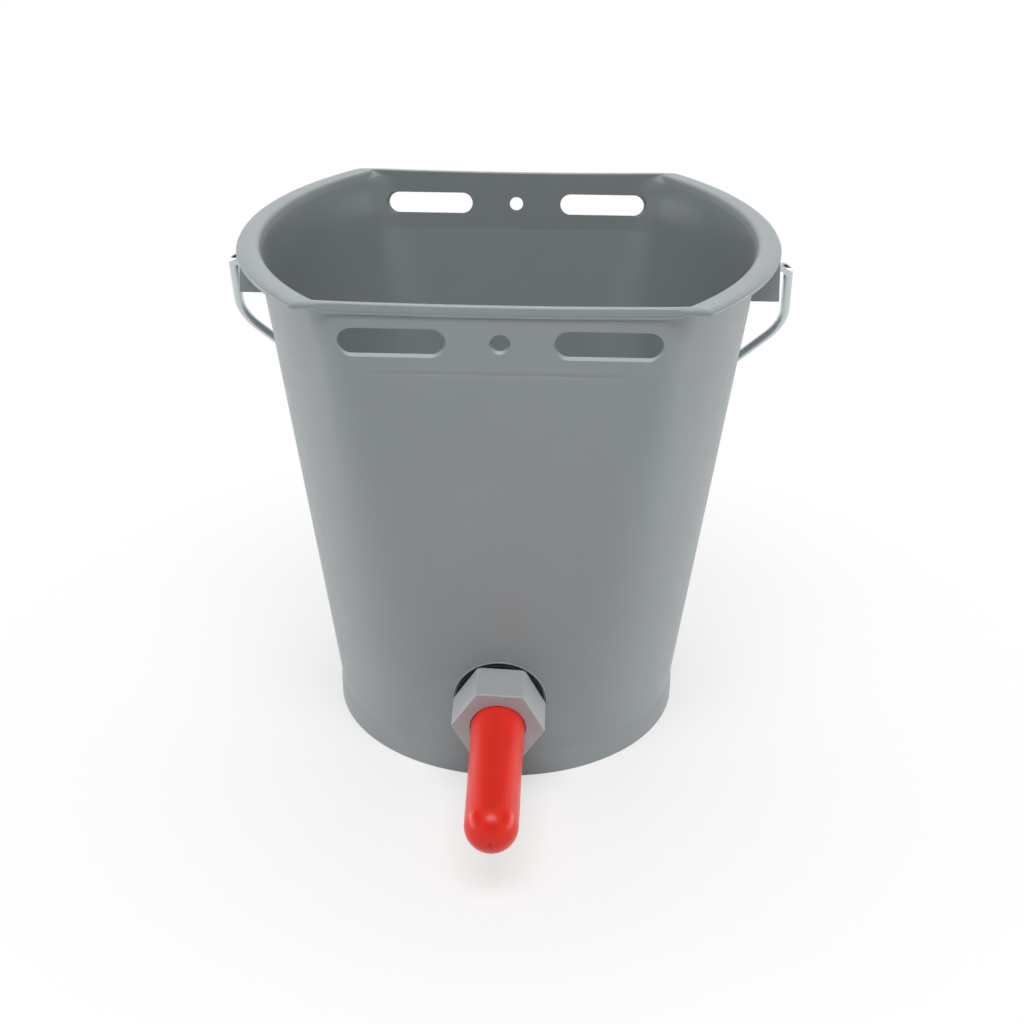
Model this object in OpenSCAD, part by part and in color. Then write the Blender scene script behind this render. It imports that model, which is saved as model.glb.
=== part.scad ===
// Calf feeder bucket: an oval moulded bucket with two flat sides, a wire bail
// and a screwed-in ball valve that carries a rubber teat.
// Millimetres. The origin is the middle of the foot ring, on the floor.
// The teat points to -Y, the bail hangs behind the bucket, on +Y.

/* [Bucket] */
// Height of the crown of the rolled rim above the floor
bucket_h = 256; // [230:1:300]
// Radius of the wall at floor level, where it is round
wall_foot_r = 87.4; // [84:0.1:88]
// Half-width of the wall at the height of the crown
wall_top_x = 120.6; // [114:0.1:124]
// Radius of the two rounded ends at the height of the crown
end_arc_r = 165; // [158:1:180]
// Thickness of the moulded wall
wall_t = 2.6; // [2:0.1:3.4]
// Half-depth of the upright upper flats, front and back
flat_y = 110.5; // [106:0.5:114]
// Radius of the soft corners between the flats and the ends, from the crease up
corner_r = 15; // [8:0.5:25]
// Depth of the crease below the crown, where the flats turn upright
crease_drop = 32; // [30:1:51]
// Radius of the foot ring
foot_r = 89.8; // [89.5:0.1:92]
// Height of the foot ring
foot_h = 14; // [10:0.5:18]
// Chamfer of the foot ring's upper edge
foot_chamfer = 2; // [1.6:0.1:3]
// Thickness of the foot ring under the base
foot_t = 3.4; // [2:0.1:5]
// Height of the underside of the base above the floor
base_rise = 5; // [3:0.5:7]
// Thickness of the base
base_t = 3; // [2:0.1:5]

/* [Rim] */
// Half-width of the bucket over the rolled rim
rim_x = 129.4; // [128:0.1:136]
// Radius of the rounded crown
crown_r = 11; // [10:0.1:14]
// Distance of the crown's top from the rim's outer edge
crown_in = 6.6; // [5:0.1:7.2]
// Height of the rim from its lip to its crown, round the ends
rim_lip_h = 2.8; // [2.6:0.1:4]
// Thickness of the rolled skirt
rim_t = 1.8; // [1.6:0.1:2]
// Height of the band along the top of a flat, from its bead to the crown
band_h = 5; // [4.6:0.1:8]
// How far the band along the top of a flat stands out from it
band_out = 0.8; // [0.5:0.1:2]
// How far the top of a flat lies below the crown
flat_drop = 0.5; // [0:0.1:1.5]
// Radius of the bead along the lower edge of a flat's band
bead_r = 0.6; // [0.4:0.1:1]

/* [Hanging slots] */
// Length of a slot over its round ends
slot_len = 46.6; // [30:0.2:50]
// Width of a slot
slot_w = 12.4; // [8:0.2:13]
// Distance of a slot's middle from the middle of the flat
slot_x = 46.7; // [36:0.1:48]
// Depth of the slots' centre line below the crown
slot_drop = 18; // [17:0.5:22]
// Diameter of the round hole between the slots
hole_d = 8.4; // [6:0.1:11]

/* [Bail ears] */
// Width of an ear, front to back
ear_w = 26; // [20:0.5:34]
// Depth of the ear's lower edge below the crown
ear_drop = 30; // [26:0.5:36]
// How far the ear's outer face stands out past the rim's edge
ear_out = 1.2; // [0.4:0.1:2]
// Thickness of the ear's two cheeks
ear_cheek = 3; // [2:0.1:4]
// Thickness of the ear's outer plate, which holds the bail
ear_plate = 4; // [3:0.1:5]
// Depth of the bail's pivot below the crown
pivot_drop = 16.4; // [14:0.1:20]

/* [Bail] */
// Diameter of the wire
wire_d = 5; // [4:0.1:6]
// Radial clearance of the wire in an ear
pivot_gap = 0.25; // [0.1:0.05:0.4]
// Gap between a leg and the rim at the pivot
leg_gap = 3.4; // [2:0.1:5]
// Length of the pin inside the ear's plate
pin_past = 4.5; // [2:0.1:5.5]
// How far a leg splays out between the pivot and the shoulder
leg_splay = 4.3; // [0:0.1:8]
// Distance from the pivot to the shoulder, along a leg
shoulder_reach = 49; // [40:1:60]
// Distance from the pivot to the middle of the grip
bail_reach = 160; // [150:1:190]
// Half-length of the grip, measured to where the sides would meet it
grip_half = 82; // [60:1:95]
// Bend radius where the wire leaves the ear
pin_bend = 6; // [5:0.5:8]
// Bend radius of the shoulders
shoulder_bend = 30; // [15:1:40]
// Bend radius of the grip's corners
grip_bend = 55; // [25:1:60]
// Gap between the hanging bail and the wall
bail_rest_gap = 0.4; // [0.3:0.1:2]

/* [Valve] */
// Height of the valve's axis at the outside of the front flat
valve_z = 47; // [42:0.5:60]
// Outer radius of the threaded spigot
spigot_r = 16.5; // [15:0.1:17]
// Radius of the spigot's bore
spigot_bore_r = 11; // [10:0.1:11.5]
// Length of the spigot outside the wall
spigot_out = 13.6; // [12:0.1:16]
// Radius of the flange inside the bucket
flange_r = 23; // [21.5:0.1:25]
// Thickness of the flange
flange_t = 4; // [3:0.1:6]
// Radial clearance between the spigot and what slides over it
spigot_gap = 0.3; // [0.2:0.05:0.5]
// Radius of the milk inlet in the flange
inlet_r = 5; // [4:0.1:5.2]
// Radius of the valve ball
ball_r = 8; // [7.8:0.1:8.6]
// Travel of the ball from the retainer to its seat
ball_travel = 4; // [2:0.1:5]
// Gap between the resting ball and the retainer
ball_gap = 0.3; // [0.2:0.05:0.5]
// Thickness of the inner gasket
gasket_t = 2; // [1.5:0.1:3]
// Thickness of the outer seal ring
seal_t = 1.8; // [1.4:0.1:4]
// Outer radius of the outer seal ring
seal_r = 22.3; // [21:0.1:22.6]
// Depth of the round seat in the front flat
seat_depth = 1; // [0.5:0.1:1.5]
// Radial clearance of the seal ring in its seat
seat_gap = 0.6; // [0.2:0.1:1]
// How far the pad behind the seat stands in from the wall
pad_rise = 1.4; // [1:0.1:2.5]
// Radius of the pad behind the seat
pad_r = 26; // [25.5:0.1:28]

/* [Nut and teat] */
// Width of the nut across its flats
nut_af = 39.2; // [38.6:0.1:41]
// Length of the nut
nut_len = 20.5; // [19.5:0.1:24]
// Thickness of the nut's front wall
nut_face_t = 4; // [3:0.1:4.5]
// Depth of the chamfer that takes the nut's back corners off
nut_chamfer = 2.4; // [1.5:0.1:3]
// Outer radius of the teat at the nut
teat_root_r = 13; // [12:0.1:13.6]
// Outer radius of the teat at its waist
teat_waist_r = 11.75; // [10.5:0.05:12.5]
// Outer radius of the teat at its round end
teat_end_r = 12.15; // [10.8:0.05:12.8]
// Length of the teat outside the nut
teat_len = 79; // [60:1:100]
// Thickness of the teat's wall
teat_t = 3.2; // [2.5:0.1:4]
// Radius of the milk hole at the teat's end
teat_hole_r = 1.2; // [0.8:0.1:2]
// Clearance between the teat and the nut's front wall
teat_gap = 0.2; // [0.1:0.05:0.4]

/* [Hidden] */
$fn = 96;

// How far a cut runs past the face that it cuts
overrun = 2;

// Level sections of the wall, each [height, middle of the end, radius of the end,
// half-depth of the flat, radius of the corner]: a circle at the floor, flat-sided above
crease_z = bucket_h - crease_drop;
crease_share = crease_z / bucket_h;
rim_mid_x = wall_top_x - end_arc_r;
foot_section = [0, 0, wall_foot_r, wall_foot_r, wall_foot_r];
crease_section = [crease_z, crease_share * rim_mid_x,
    wall_foot_r + crease_share * (end_arc_r - wall_foot_r), flat_y, corner_r];
crown_section = [bucket_h, rim_mid_x, end_arc_r, flat_y, corner_r];
// Steps of the skin along a quarter's end and along its corner
end_steps = 16;
corner_steps = 8;

// Flats, front and back
flat_slope = (flat_y - wall_foot_r) / crease_z;
flat_taper = atan(flat_slope);
base_top = base_rise + base_t;

// The rolled rim runs round the ends' middles at the crown
rim_arc_r = rim_x - rim_mid_x;
lip_z = bucket_h - rim_lip_h;
band_y = flat_y + band_out;
// The rim and the bands start this far inside the hollow, which trims them
rim_trim = wall_t / 2;
rim_in_r = end_arc_r - wall_t - rim_trim;
band_t = wall_t + band_out + rim_trim;
band_z = bucket_h - band_h - bead_r / 2;
band_top_z = bucket_h - flat_drop - band_t / 2;
rim_sweep = asin(band_y / rim_in_r) + atan(overrun / rim_in_r);
band_half = rim_mid_x + sqrt(pow(rim_arc_r - crown_in, 2) - pow(band_y, 2));

// Slots and ears
slot_z = bucket_h - slot_drop;
slot_run = slot_len - slot_w;
hole_r = hole_d / 2;
ear_z = bucket_h - ear_drop;
pivot_z = bucket_h - pivot_drop;
ear_back_x = wall_foot_r + ear_z * (wall_top_x - wall_foot_r) / bucket_h - wall_t / 2;
ear_x = rim_x + ear_out;
pocket_x = ear_x - ear_plate;

// Bail: its path lies in one plane, x across and y out from the pivot
wire_r = wire_d / 2;
leg_x = rim_x + leg_gap + wire_r;
pin_x = pocket_x - pin_past;
shoulder_x = leg_x + leg_splay;
bail_right = [[pin_x, 0], [leg_x, 0], [shoulder_x, shoulder_reach], [grip_half, bail_reach]];
bail_path = concat(bail_right, [for (i = [len(bail_right) - 1 : -1 : 0]) [-bail_right[i].x, bail_right[i].y]]);
bail_bends_right = [0, pin_bend, shoulder_bend, grip_bend];
bail_bends = concat(bail_bends_right, [for (i = [len(bail_bends_right) - 1 : -1 : 0]) bail_bends_right[i]]);
// Between the pins the wire is swept: sides of its skin, and degrees of bend between two rings
wire_sides = 16;
bend_step = 12;
// Share of the pin's radius that the swept skin's corners reach
skin_share = 0.985;
skin_r = wire_r * skin_share;
tube_start = [pocket_x, 0];
bail_stations = concat(
    [[tube_start, 0]],
    [for (i = [1 : len(bail_path) - 2]) each corner_stations(bail_path, bail_bends, i)],
    [[[-tube_start.x, tube_start.y], 180]]
);
// Angle from straight down at which the grip lies against the back wall
bail_stand = wall_foot_r + flat_slope * pivot_z + (wire_r + bail_rest_gap) / cos(flat_taper);
bail_hang = asin(bail_stand * cos(flat_taper) / bail_reach) - flat_taper;

// Stations along the valve's axis, outwards from the outside of the front flat
valve_y = wall_foot_r + flat_slope * valve_z;
seat_s = -seat_depth;
pad_s = -wall_t - pad_rise;
gasket_s = pad_s - gasket_t;
flange_s = gasket_s - flange_t;
nut_s = seat_s + seal_t;
nut_front_s = nut_s + nut_len;
nut_step_s = nut_front_s - nut_face_t;
seat_bore_r = seal_r + seat_gap;
spigot_hole_r = spigot_r + spigot_gap;
// A ball on a 45 degree seat touches it on this radius, this far ahead of its middle
ball_touch = ball_r * cos(45);
seat_mouth_r = (ball_touch + spigot_bore_r) / 2;
inlet_s = flange_s + flange_t / 2;
seat_mouth_s = inlet_s + seat_mouth_r - inlet_r;
ball_shut_s = inlet_s + (ball_touch - inlet_r) + ball_touch;
ball_open_s = ball_shut_s + ball_travel;
retainer_s = ball_open_s + ball_r + ball_gap;
retainer_t = spigot_out - retainer_s;
// Shares of the bore's radius that the retainer's hub and its ring keep
retainer_hub_share = 0.34;
retainer_ring_share = 0.78;
retainer_arms = 3;
retainer_arm_w = spigot_bore_r * retainer_hub_share;
retainer_gap = spigot_gap / 3;
retainer_r = spigot_bore_r - retainer_gap;

// Teat
teat_flange_r = spigot_r;
teat_hole_nut_r = teat_root_r + teat_gap;
teat_tip_s = nut_front_s + teat_len;
teat_end_s = teat_tip_s - teat_end_r;
// Share of the teat's length at which its waist is narrowest
waist_share = 0.75;
teat_steps = 16;
nut_corner_r = nut_af / 2 / cos(30);

// Radius of the teat's skin at a share of its length between the nut and the round end
function teat_skin(share) = share < waist_share
    ? teat_waist_r + (teat_root_r - teat_waist_r) * pow(1 - share / waist_share, 2)
    : teat_waist_r + (teat_end_r - teat_waist_r) * pow((share - waist_share) / (1 - waist_share), 2);

function heading(a, b) = atan2(b.y - a.y, b.x - a.x);
// Turn at a corner of a path, from -180 to 180 degrees, left positive
function turn_at(path, i) = let (t = heading(path[i], path[i + 1]) - heading(path[i - 1], path[i]))
    t > 180 ? t - 360 : t < -180 ? t + 360 : t;
// Length that a rounded corner takes from each of its two straights
function trim_at(path, bends, i) = bends[i] * tan(abs(turn_at(path, i)) / 2);
// Stations round one corner of a path: places and headings
function corner_stations(path, bends, i) = let (
    turn = turn_at(path, i),
    way = heading(path[i - 1], path[i]),
    side = sign(turn),
    steps = ceil(abs(turn) / bend_step),
    start = path[i] - trim_at(path, bends, i) * [cos(way), sin(way)],
    middle = start + side * bends[i] * [-sin(way), cos(way)]
) [for (k = [0 : steps]) let (w = way + turn * k / steps) [middle + side * bends[i] * [sin(w), -cos(w)], w]];
// Points of the wire's skin round one station
function wire_ring(station) = [for (j = [0 : wire_sides - 1]) let (a = 360 * j / wire_sides) [
    station[0].x - skin_r * cos(a) * sin(station[1]),
    station[0].y + skin_r * cos(a) * cos(station[1]),
    skin_r * sin(a)
]];

// Level section of the wall at a height
function section_at(z) = let (
    low = z < crease_z ? foot_section : crease_section,
    high = z < crease_z ? crease_section : crown_section
) low + (high - low) * (z - low[0]) / (high[0] - low[0]);
// Quarter of a level section, set in by a wall: the end's arc, then the corner's, tangent to the flat
function quarter(section, inset) = let (
    reach = section[2] - section[4],
    turn = asin((section[3] - section[4]) / reach),
    corner = [section[1] + reach * cos(turn), reach * sin(turn)]
) concat(
    [for (i = [0 : end_steps - 1]) let (a = turn * i / end_steps)
        [section[1], 0] + (section[2] - inset) * [cos(a), sin(a)]],
    [for (i = [0 : corner_steps]) let (a = turn + (90 - turn) * i / corner_steps)
        corner + (section[4] - inset) * [cos(a), sin(a)]]
);
// All round at one height, from the middle of the right-hand end
function outline(z, inset) = let (q = quarter(section_at(z), inset), n = len(q)) [
    for (p = q) [p.x, p.y, z],
    for (i = [n - 1 : -1 : 0]) [-q[i].x, q[i].y, z],
    for (i = [1 : n - 1]) [-q[i].x, -q[i].y, z],
    for (i = [n - 1 : -1 : 1]) [q[i].x, -q[i].y, z]
];
// Faces of a skin over rings of points that follow each other
function skin_faces(rings, count) = concat(
    [for (k = [0 : rings - 2]) each [for (i = [0 : count - 1]) let (
        a = k * count + i,
        b = k * count + (i + 1) % count
    ) each [[a, a + count, b], [b, a + count, b + count]]]],
    [[for (i = [0 : count - 1]) i], [for (i = [count - 1 : -1 : 0]) (rings - 1) * count + i]]
);

module both_ends() {
    children();
    mirror([1, 0, 0]) children();
}

module both_flats() {
    children();
    mirror([0, 1, 0]) children();
}

// Carries its children to the valve: z outwards along the axis, y up the wall
module at_valve() {
    translate([0, -valve_y, valve_z]) rotate([90 + flat_taper, 0, 0]) children();
}

// Body of the bucket between two heights, set in by a wall
module core(inset, low, high) {
    rings = [for (z = [low, crease_z, high]) outline(z, inset)];
    polyhedron([for (r = rings) each r], skin_faces(len(rings), len(rings[0])));
}

// Section of the rolled rim, or of the hollow under it, about the end's own middle
module rim_section(inner, inset, low) {
    intersection() {
        translate([rim_arc_r - crown_in, bucket_h - crown_r]) circle(crown_r - inset);
        translate([inner, low]) square([rim_arc_r - inset - inner, bucket_h - low]);
    }
}

// Sweeps a section round the right-hand end, cut off by the flats
module round_end(half_depth) {
    intersection() {
        translate([rim_mid_x, 0, 0]) rotate([0, 0, -rim_sweep])
            rotate_extrude(angle = 2 * rim_sweep) children();
        translate([0, -half_depth, 0]) cube([rim_x + overrun, 2 * half_depth, bucket_h + overrun]);
    }
}

module rim() {
    both_ends() difference() {
        round_end(band_y) rim_section(rim_in_r, 0, lip_z);
        round_end(band_y - rim_t) rim_section(end_arc_r, rim_t, lip_z - overrun);
    }
    both_flats() band();
}

// Band along the top of a flat, with a rounded edge
module band() {
    translate([-band_half, 0, 0]) rotate([90, 0, 90]) linear_extrude(2 * band_half) {
        translate([band_y - band_t, band_z]) square([band_t, band_top_z - band_z]);
        translate([band_y - band_t / 2, band_top_z]) circle(band_t / 2);
        translate([band_y, band_z + bead_r]) circle(bead_r);
    }
}

// Slot through both flats
module slot() {
    translate([-slot_run / 2, -band_y, slot_z - slot_w / 2]) cube([slot_run, 2 * band_y, slot_w]);
    for (x = [-slot_run / 2, slot_run / 2])
        translate([x, 0, slot_z]) rotate([90, 0, 0]) cylinder(h = 2 * band_y, r = slot_w / 2, center = true);
}

// Ear under the rim, open below, that carries one end of the bail
module ear() {
    translate([ear_back_x, -ear_w / 2, ear_z])
        cube([ear_x - ear_back_x, ear_w, lip_z + rim_t / 4 - ear_z]);
}

module ear_pocket() {
    pocket_w = ear_w - 2 * ear_cheek;
    translate([ear_back_x, -pocket_w / 2, ear_z - overrun])
        cube([pocket_x - ear_back_x, pocket_w, lip_z - ear_z + overrun]);
    translate([pocket_x - overrun, 0, pivot_z]) rotate([0, 90, 0])
        cylinder(h = ear_plate + 2 * overrun, r = wire_r + pivot_gap);
}

module bucket() color("slategray") {
    difference() {
        union() {
            difference() {
                union() {
                    core(0, foot_h / 2, lip_z + rim_t / 2);
                    cylinder(h = foot_h - foot_chamfer, r = foot_r);
                    translate([0, 0, foot_h - foot_chamfer])
                        cylinder(h = foot_chamfer, r1 = foot_r, r2 = foot_r - foot_chamfer);
                    both_ends() difference() {
                        ear();
                        ear_pocket();
                    }
                    rim();
                }
                core(wall_t, base_top, bucket_h + overrun);
            }
            at_valve() translate([0, 0, pad_s]) cylinder(h = wall_t / 2 + pad_rise, r = pad_r);
        }
        translate([0, 0, -overrun]) cylinder(h = base_rise + overrun, r = foot_r - foot_t);
        both_ends() translate([slot_x, 0, 0]) slot();
        translate([0, 0, slot_z]) rotate([90, 0, 0]) cylinder(h = 2 * band_y, r = hole_r, center = true);
        at_valve() {
            translate([0, 0, seat_s]) cylinder(h = seat_depth + overrun, r = seat_bore_r);
            translate([0, 0, pad_s - overrun]) cylinder(h = 2 * overrun - pad_s, r = spigot_hole_r);
        }
    }
}

// Wire swept along stations, each a place in the plane and a heading
module swept_wire(stations) {
    polyhedron([for (s = stations) each wire_ring(s)], skin_faces(len(stations), wire_sides));
}

module bail() color("silver") {
    translate([0, 0, pivot_z]) rotate([bail_hang - 90, 0, 0]) {
        swept_wire(bail_stations);
        both_ends() translate([pin_x, 0, 0]) rotate([0, 90, 0])
            cylinder(h = leg_x - trim_at(bail_path, bail_bends, 1) - pin_x, r = wire_r);
    }
}

// Ring along the valve's axis between two stations
module ring(from_s, to_s, outer_r, inner_r) {
    translate([0, 0, from_s]) difference() {
        cylinder(h = to_s - from_s, r = outer_r);
        translate([0, 0, -overrun]) cylinder(h = to_s - from_s + 2 * overrun, r = inner_r);
    }
}

module valve_body() color("dimgray") at_valve() difference() {
    union() {
        translate([0, 0, flange_s]) cylinder(h = flange_t, r = flange_r);
        translate([0, 0, flange_s]) cylinder(h = spigot_out - flange_s, r = spigot_r);
    }
    translate([0, 0, flange_s - overrun]) cylinder(h = inlet_s - flange_s + overrun, r = inlet_r);
    translate([0, 0, inlet_s])
        cylinder(h = seat_mouth_s - inlet_s, r1 = inlet_r, r2 = seat_mouth_r);
    translate([0, 0, seat_mouth_s])
        cylinder(h = spigot_out - seat_mouth_s + overrun, r = spigot_bore_r);
}

module inner_gasket() color("black") at_valve() ring(gasket_s, pad_s, flange_r, spigot_hole_r);

module seal_ring() color("black") at_valve() ring(seat_s, nut_s, seal_r, spigot_hole_r);

// Ring, hub and arms that keep the ball in the spigot and let milk past
module ball_retainer() color("gainsboro") at_valve() {
    ring(retainer_s, spigot_out, retainer_r, retainer_r * retainer_ring_share);
    translate([0, 0, retainer_s]) cylinder(h = retainer_t, r = retainer_r * retainer_hub_share);
    for (k = [0 : retainer_arms - 1]) rotate([0, 0, 90 + k * 360 / retainer_arms])
        translate([0, -retainer_arm_w / 2, retainer_s])
            cube([retainer_r * (1 + retainer_ring_share) / 2, retainer_arm_w, retainer_t]);
}

module valve_ball() color("white") at_valve() translate([0, 0, ball_open_s]) sphere(ball_r);

module teat_nut() color("lightgray") at_valve() difference() {
    intersection() {
        translate([0, 0, nut_s]) cylinder(h = nut_len, r = nut_corner_r, $fn = 6);
        translate([0, 0, nut_s])
            cylinder(h = nut_len, r1 = nut_corner_r - nut_chamfer, r2 = nut_corner_r - nut_chamfer + nut_len);
    }
    translate([0, 0, nut_s - overrun]) cylinder(h = nut_step_s - nut_s + overrun, r = spigot_hole_r);
    translate([0, 0, nut_step_s - overrun]) cylinder(h = nut_face_t + 2 * overrun, r = teat_hole_nut_r);
}

// Half section of the teat, out to its skin or to its bore
module teat_half(inset, root_s) {
    intersection() {
        union() {
            polygon(concat(
                [[0, root_s], [teat_skin(0) - inset, root_s]],
                [for (i = [0 : teat_steps]) let (share = i / teat_steps)
                    [teat_skin(share) - inset, nut_front_s + share * (teat_end_s - nut_front_s)]],
                [[0, teat_end_s]]));
            translate([0, teat_end_s]) circle(teat_end_r - inset);
        }
        translate([0, root_s]) square([teat_root_r, teat_tip_s - root_s]);
    }
}

module teat() color("red") at_valve() {
    difference() {
        union() {
            translate([0, 0, spigot_out]) cylinder(h = nut_step_s - spigot_out, r = teat_flange_r);
            rotate_extrude() teat_half(0, spigot_out);
        }
        rotate_extrude() teat_half(teat_t, spigot_out - overrun);
        translate([0, 0, teat_end_s]) cylinder(h = teat_end_r + overrun, r = teat_hole_r);
    }
}

bucket();
bail();
valve_body();
inner_gasket();
seal_ring();
ball_retainer();
valve_ball();
teat_nut();
teat();
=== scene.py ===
import math

import bmesh
import bpy
from mathutils import Matrix, Vector


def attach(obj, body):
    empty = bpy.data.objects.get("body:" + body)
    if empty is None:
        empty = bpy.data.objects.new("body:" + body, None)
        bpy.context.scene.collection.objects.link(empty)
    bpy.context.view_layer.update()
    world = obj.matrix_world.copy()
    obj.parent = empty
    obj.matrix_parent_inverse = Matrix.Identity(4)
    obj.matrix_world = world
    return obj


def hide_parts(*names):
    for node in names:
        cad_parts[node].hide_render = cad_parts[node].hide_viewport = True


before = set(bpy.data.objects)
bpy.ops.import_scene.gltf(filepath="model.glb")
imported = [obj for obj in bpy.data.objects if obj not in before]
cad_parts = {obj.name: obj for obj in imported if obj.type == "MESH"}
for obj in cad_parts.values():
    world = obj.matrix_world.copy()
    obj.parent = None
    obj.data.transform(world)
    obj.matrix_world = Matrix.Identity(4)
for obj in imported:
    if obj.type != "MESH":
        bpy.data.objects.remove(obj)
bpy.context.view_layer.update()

bl_info = {
    "name": "Calf feeder bucket",
    "version": (1, 0, 0),
    "blender": (4, 5, 0),
    "location": "View3D > Sidebar > Feeder bucket",
    "description": "Oval calf feeder bucket with a wire bail and a screwed-in teat",
    "category": "Add Mesh",
}

MM = 0.001
# How far a cutting tool runs past what it cuts
OVERRUN = 3 * MM


def length(name, description, millimetres):
    """A size that a user can change, kept in metres."""
    return bpy.props.FloatProperty(
        name=name, description=description, default=millimetres * MM,
        unit="LENGTH", subtype="DISTANCE", precision=5)


def angle(name, description, degrees):
    """An angle that a user can change."""
    return bpy.props.FloatProperty(
        name=name, description=description, default=math.radians(degrees), subtype="ANGLE")


def tint(name, description, colour):
    """A colour that a user can change."""
    return bpy.props.FloatVectorProperty(
        name=name, description=description, default=colour, size=3,
        min=0, max=1, subtype="COLOR")


def level(name, description, value):
    """A plain number that a user can change."""
    return bpy.props.FloatProperty(name=name, description=description, default=value)


class MouldingSettings(bpy.types.PropertyGroup):
    height: length("Height", "Floor to the crown of the rolled rim", 256)
    foot_r: length("Wall at the floor", "Radius of the wall at floor level", 87.4)
    top_x: length("Wall at the crown", "Half-width of the wall at the crown", 120.6)
    end_r: length("End radius", "Radius of the rounded ends at the crown", 165)
    wall: length("Wall", "Thickness of the moulded wall", 2.6)
    flat_y: length("Flat", "Half-depth of the upright flats", 110.5)
    corner_r: length("Corner", "Radius of the soft corners beside the flats", 24)
    crease_z: length("Crease", "Height where the flats turn upright", 224)
    ring_r: length("Foot ring", "Radius of the foot ring", 89.8)
    ring_h: length("Foot ring height", "Height of the foot ring", 13)
    ring_t: length("Foot ring thickness", "Thickness of the foot ring", 3.4)
    base_rise: length("Base rise", "Underside of the base above the floor", 5)
    base_top: length("Base top", "Upper face of the base above the floor", 8)
    base_fillet: length("Base fillet", "Radius between base and wall, inside", 5)
    edge: length("Edge", "Radius of the moulded edges", 0.6)
    rim_x: length("Rim", "Half-width over the rolled rim", 129.4)
    rim_lip: length("Rim height", "Height of the rim from lip to crown", 3.3)
    sag: length("Sag", "How far a flat's top sags below the crown in its middle", 1.0)
    step_x: length("Band end", "Where a flat's band steps up to the rim's lip", 77)
    groove: length("Groove", "Depth of the groove along the crease", 0.45)
    slot_len: length("Slot length", "Length of a slot over its round ends", 46.6)
    slot_w: length("Slot width", "Width of a slot", 12.4)
    slot_x: length("Slot place", "Slot's middle from the flat's middle", 46.7)
    slot_drop: length("Slot drop", "Slots' middle below the crown", 18)
    slot_draft: length("Slot draft", "How much smaller the slots are inside", 0.6)
    hole_d: length("Hole", "Diameter of the hole between the slots", 8.4)
    ear_w: length("Ear width", "Width of an ear, front to back", 26)
    ear_x: length("Ear", "Ear's outer face from the bucket's middle", 130.4)
    ear_lean: length("Ear lean", "How far the ear's outer face leans in at its top", 1.2)
    ear_drop: length("Ear drop", "Ear's lower edge below the crown", 30)
    ear_cheek: length("Ear cheek", "Thickness of the ear's cheeks", 3)
    ear_plate: length("Ear plate", "Thickness of the ear's outer plate", 4)


class BailSettings(bpy.types.PropertyGroup):
    wire: length("Wire", "Diameter of the wire", 4.7)
    pivot_drop: length("Pivot", "Pivot below the crown of the rim", 16.4)
    pivot_gap: length("Pivot gap", "Clearance of the wire in an ear", 0.4)
    pin_x: length("Pin", "Inner end of a pin from the middle", 122.1)
    leg_x: length("Leg", "Leg at the pivot from the middle", 135.3)
    shoulder_x: length("Shoulder", "Shoulder from the middle", 140.1)
    shoulder_reach: length("Shoulder reach", "Pivot to shoulder", 53)
    reach: length("Reach", "Pivot to the middle of the grip", 160)
    grip_half: length("Grip", "Half-length of the grip", 82)
    pin_bend: length("Pin bend", "Bend radius at an ear", 6)
    shoulder_bend: length("Shoulder bend", "Bend radius of a shoulder", 50)
    grip_bend: length("Grip bend", "Bend radius of the grip's corners", 55)
    rest_gap: length("Rest gap", "Gap between the hanging bail and the wall", 0.55)


class ValveSettings(bpy.types.PropertyGroup):
    height: length("Height", "Valve's axis at the outside of the flat", 47)
    spigot_r: length("Spigot", "Radius of the threaded spigot", 16.5)
    spigot_gap: length("Spigot gap", "Clearance around the spigot", 0.3)
    spigot_out: length("Spigot length", "Length of the spigot outside the wall", 13.6)
    flange_r: length("Flange", "Radius of the flange and the gasket inside", 23)
    gasket_t: length("Gasket", "Thickness of the inner gasket", 2)
    seal_r: length("Seal", "Radius of the outer seal ring", 21.6)
    seal_t: length("Seal thickness", "Thickness of the outer seal ring", 1.8)
    seat_depth: length("Seat", "Depth of the seat in the flat", 1)
    seat_gap: length("Seat gap", "Clearance of the seal in its seat", 0.25)
    seat_bead: length("Seat bead", "Radius of the thin bead round the seat", 0.45)
    pad_rise: length("Pad", "How far the pad inside stands in", 1.4)
    pad_r: length("Pad radius", "Radius of the pad inside", 26)
    nut_af: length("Nut", "Width of the nut across its flats", 39.2)
    nut_len: length("Nut length", "Length of the nut", 20.5)
    nut_face: length("Nut face", "Thickness of the nut's front wall", 4)
    nut_chamfer: length("Nut chamfer", "Chamfer of the nut's back corners", 0.7)
    nut_edge: length("Nut edge", "Radius of the nut's edges", 0.7)
    nut_turn: angle("Nut turn", "Turn of the nut about its axis", 2.5)
    teat_root: length("Teat root", "Radius of the teat at the nut", 13)
    teat_waist: length("Teat waist", "Radius of the teat at its waist", 12.35)
    teat_end: length("Teat end", "Radius of the teat's round end", 12.25)
    teat_len: length("Teat length", "Length of the teat outside the nut", 79)
    teat_wall: length("Teat wall", "Thickness of the teat's wall", 3.2)
    teat_hole: length("Milk hole", "Radius of the milk hole", 0.4)
    waist_share: level("Waist", "Share of the teat's length at its waist", 0.75)


class FinishSettings(bpy.types.PropertyGroup):
    moulding: tint("Moulding", "Grey of the bucket", (0.282, 0.312, 0.321))
    nut: tint("Nut", "Grey of the nut", (0.410, 0.424, 0.438))
    wire: tint("Wire", "Zinc-plated wire", (0.52, 0.57, 0.585))
    rubber: tint("Rubber", "Black of the seals", (0.008, 0.009, 0.010))
    teat: tint("Teat", "Red of the teat", (0.83, 0.028, 0.014))
    valve: tint("Valve", "Grey of the valve body", (0.30, 0.31, 0.32))
    cage: tint("Retainer", "Off-white of the ball's retainer", (0.70, 0.70, 0.68))
    ball: tint("Ball", "White of the valve ball", (0.80, 0.80, 0.77))


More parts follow.
